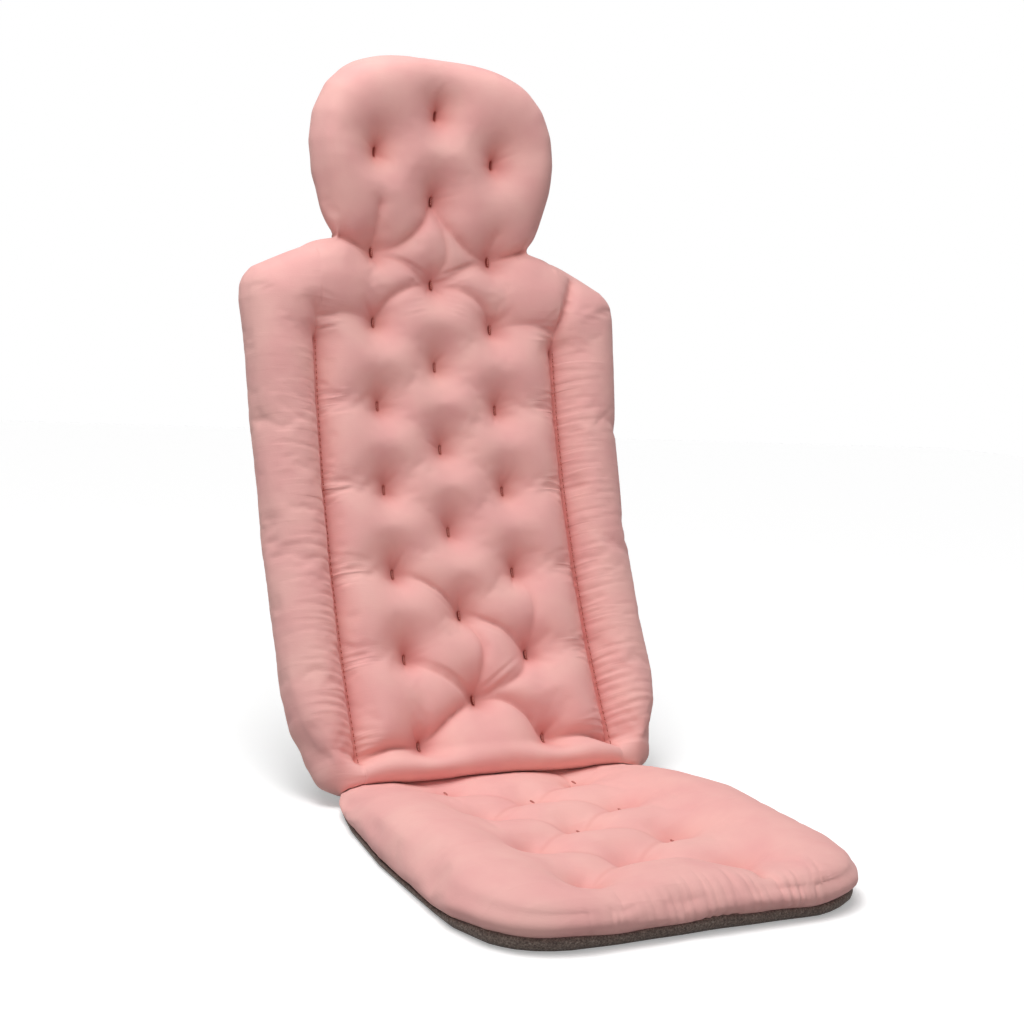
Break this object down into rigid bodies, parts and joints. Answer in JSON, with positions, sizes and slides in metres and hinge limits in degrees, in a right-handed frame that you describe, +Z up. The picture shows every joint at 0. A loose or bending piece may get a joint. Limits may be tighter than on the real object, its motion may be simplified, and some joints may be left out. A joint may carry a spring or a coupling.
{
  "type": "full body bath cushion",
  "caption": "Tufted pink bath cushion with a seat pad, a quilted back between side bolsters, and a head pillow, folded to lie in a tub.",
  "frame": {"origin": "middle of the fold between seat and back, level with the seat's underside, where a tub's floor meets its sloping end wall", "axes": "+Z up, +X to the bather's left, and the seat points to -Y"},
  "size_m": [0.404, 0.5933, 0.6915],
  "materials": {
    "cover": "matt",
    "backing": "matt",
    "filling": "matt",
    "thread": "matt"
  },
  "bodies": {
    "seat": {"seat_cover": "cover", "seat_filling": "filling", "seat_backing": "backing", "fold_seam": "thread", "seat_tie_01": "thread", "seat_tie_02": "thread", "seat_tie_03": "thread", "seat_tie_04": "thread", "seat_tie_05": "thread", "seat_tie_06": "thread", "seat_tie_07": "thread", "seat_tie_08": "thread", "seat_tie_09": "thread", "seat_tie_10": "thread", "seat_tie_11": "thread"},
    "back": {"back_panel_cover": "cover", "back_panel_filling": "filling", "back_backing": "backing", "left_bolster_cover": "cover", "left_bolster_filling": "filling", "left_bolster_stitching": "thread", "right_bolster_cover": "cover", "right_bolster_filling": "filling", "right_bolster_stitching": "thread", "neck_seam": "thread", "back_panel_tie_01": "thread", "back_panel_tie_02": "thread", "back_panel_tie_03": "thread", "back_panel_tie_04": "thread", "back_panel_tie_05": "thread", "back_panel_tie_06": "thread", "back_panel_tie_07": "thread", "back_panel_tie_08": "thread", "back_panel_tie_09": "thread", "back_panel_tie_10": "thread", "back_panel_tie_11": "thread", "back_panel_tie_12": "thread", "back_panel_tie_13": "thread", "back_panel_tie_14": "thread", "back_panel_tie_15": "thread", "back_panel_tie_16": "thread", "back_panel_tie_17": "thread", "back_panel_tie_18": "thread", "back_panel_tie_19": "thread", "back_panel_tie_20": "thread"},
    "head": {"head_cover": "cover", "head_filling": "filling", "head_backing": "backing", "head_tie_01": "thread", "head_tie_02": "thread", "head_tie_03": "thread", "head_tie_04": "thread"}
  },
  "joints": [
    {"name": "seat_fold", "type": "hinge", "parent": "seat", "child": "back", "pos_m": [0, 0, 0.009], "axis": [-1, 0, 0], "range_deg": [0, 53.8]},
    {"name": "head_fold", "type": "hinge", "parent": "back", "child": "head", "pos_m": [0, 0.20227, 0.51013], "axis": [-1, 0, 0], "range_deg": [0, 80]}
  ]
}
